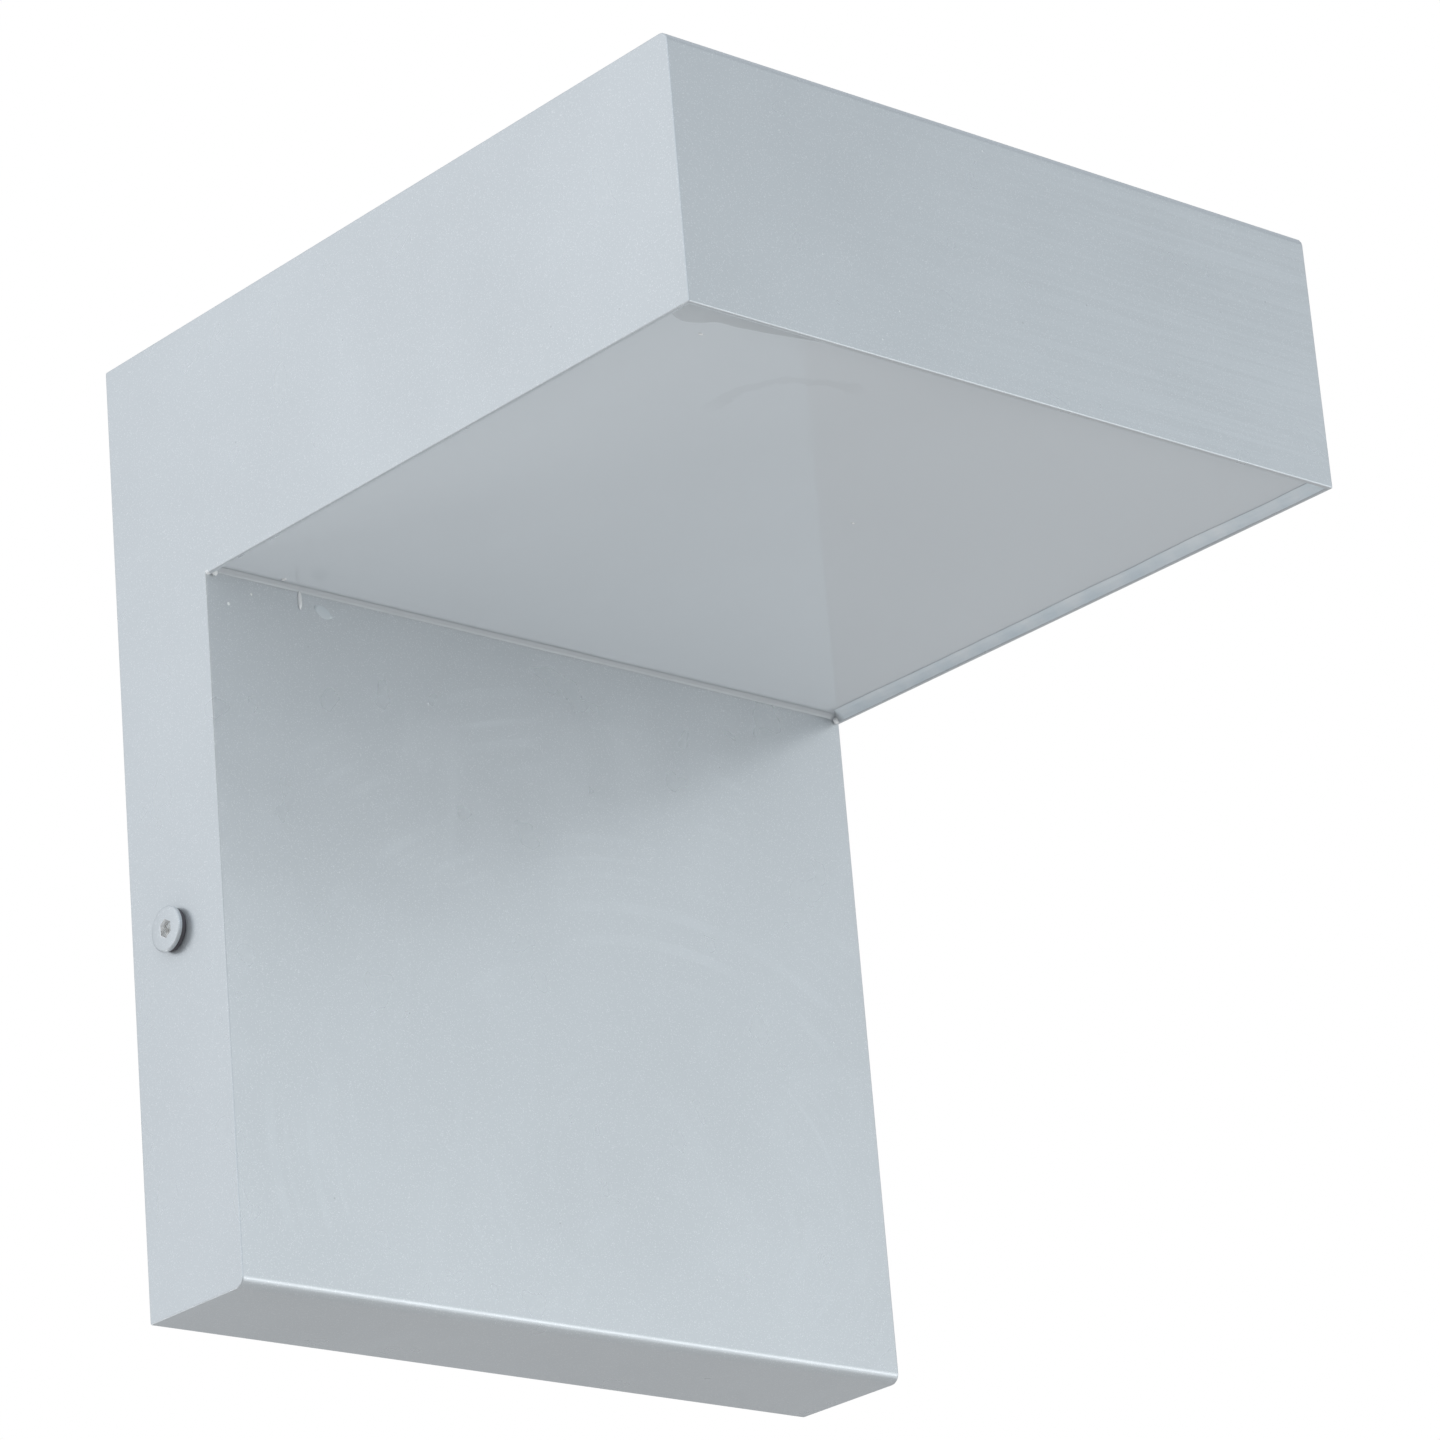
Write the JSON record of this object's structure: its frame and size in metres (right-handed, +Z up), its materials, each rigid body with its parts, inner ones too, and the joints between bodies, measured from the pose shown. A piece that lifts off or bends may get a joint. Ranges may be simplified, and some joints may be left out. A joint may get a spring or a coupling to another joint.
{
  "type": "outdoor wall lantern",
  "caption": "Down-light wall lantern: inverted-L sheet-metal casing with an opal panel under its head, held on a wall bracket by a screw through each side.",
  "frame": {"origin": "middle of the wall bracket's rear face, level with the two side screws, in the plane of the wall", "axes": "+X to the right as seen from the room, +Y into the wall, +Z up; the light shines down, -Z, from under the head, which stands out along -Y"},
  "size_m": [0.1638, 0.1685, 0.191],
  "materials": {
    "casing_paint": "satin silver-grey metallic powder coat",
    "screw_paint": "satin silver-grey paint on steel, bare in the socket",
    "opal_panel": "glossy opal acrylic",
    "clear_silicone": "clear cured sealant",
    "zinc_plate": "bright zinc plating",
    "aluminium": "mill finish",
    "white_sheet": "matt white",
    "board_white": "white solder mask",
    "led_phosphor": "yellow phosphor under clear resin",
    "black_rubber": "matt black",
    "white_plastic": "fine moulded texture",
    "natural_nylon": "natural nylon",
    "tinned_copper": "tin plating",
    "brown_sleeve": "brown insulation",
    "blue_sleeve": "blue insulation",
    "green_sleeve": "green and yellow insulation",
    "red_sleeve": "red insulation",
    "black_sleeve": "black insulation"
  },
  "bodies": {
    "bracket": {"wall_bracket": "zinc_plate", "cable_grommet": "black_rubber"},
    "lantern": {"casing": "casing_paint", "diffuser_panel": "opal_panel", "silicone_bead": "clear_silicone", "panel_frame": "zinc_plate", "reflector": "white_sheet", "led_tray": "aluminium", "tray_spacer_1": "aluminium", "tray_nut_1": "zinc_plate", "tray_spacer_2": "aluminium", "tray_nut_2": "zinc_plate", "tray_spacer_3": "aluminium", "tray_nut_3": "zinc_plate", "tray_spacer_4": "aluminium", "tray_nut_4": "zinc_plate", "led_board": "board_white", "board_screw_1": "zinc_plate", "board_screw_2": "zinc_plate", "board_screw_3": "zinc_plate", "board_screw_4": "zinc_plate", "led_1": "led_phosphor", "led_2": "led_phosphor", "led_3": "led_phosphor", "led_4": "led_phosphor", "led_5": "led_phosphor", "led_6": "led_phosphor", "led_7": "led_phosphor", "led_8": "led_phosphor", "led_9": "led_phosphor", "led_connector": "white_plastic", "gear_plate": "zinc_plate", "gear_nut_left": "zinc_plate", "driver_screw_left": "zinc_plate", "clamp_screw_left": "zinc_plate", "gear_nut_right": "zinc_plate", "driver_screw_right": "zinc_plate", "clamp_screw_right": "zinc_plate", "driver": "white_plastic", "terminal_block": "natural_nylon", "terminal_screw_1": "zinc_plate", "terminal_screw_2": "zinc_plate", "terminal_screw_3": "zinc_plate", "cord_clamp": "natural_nylon", "earth_lug": "tinned_copper", "earth_screw": "zinc_plate", "earth_wire": "green_sleeve", "live_wire": "brown_sleeve", "neutral_wire": "blue_sleeve", "led_plus_wire": "red_sleeve", "led_minus_wire": "black_sleeve", "nut_left": "zinc_plate", "nut_right": "zinc_plate"},
    "left_washer": {"washer_left": "black_rubber"},
    "left_screw": {"screw_left": "screw_paint"},
    "right_washer": {"washer_right": "black_rubber"},
    "right_screw": {"screw_right": "screw_paint"}
  },
  "joints": [
    {"name": "lantern_pull_off", "type": "slide", "parent": "bracket", "child": "lantern", "axis": [0, -1, 0], "range_m": [0, 0.06]},
    {"name": "left_screw_travel", "type": "slide", "parent": "lantern", "child": "left_washer", "axis": [-1, 0, 0], "range_m": [0, 0.0048]},
    {"name": "left_screw_turn", "type": "hinge", "parent": "left_washer", "child": "left_screw", "pos_m": [-0.081, -0.013, 0], "axis": [-1, 0, 0], "range_deg": [0, 2160]},
    {"name": "right_screw_travel", "type": "slide", "parent": "lantern", "child": "right_washer", "axis": [1, 0, 0], "range_m": [0, 0.0048]},
    {"name": "right_screw_turn", "type": "hinge", "parent": "right_washer", "child": "right_screw", "pos_m": [0.081, -0.013, 0], "axis": [1, 0, 0], "range_deg": [0, 2160]}
  ],
  "couplings": [
    {"joint": "left_screw_turn", "follows": "left_screw_travel", "rad_per_m": 7854},
    {"joint": "right_screw_turn", "follows": "right_screw_travel", "rad_per_m": 7854}
  ]
}
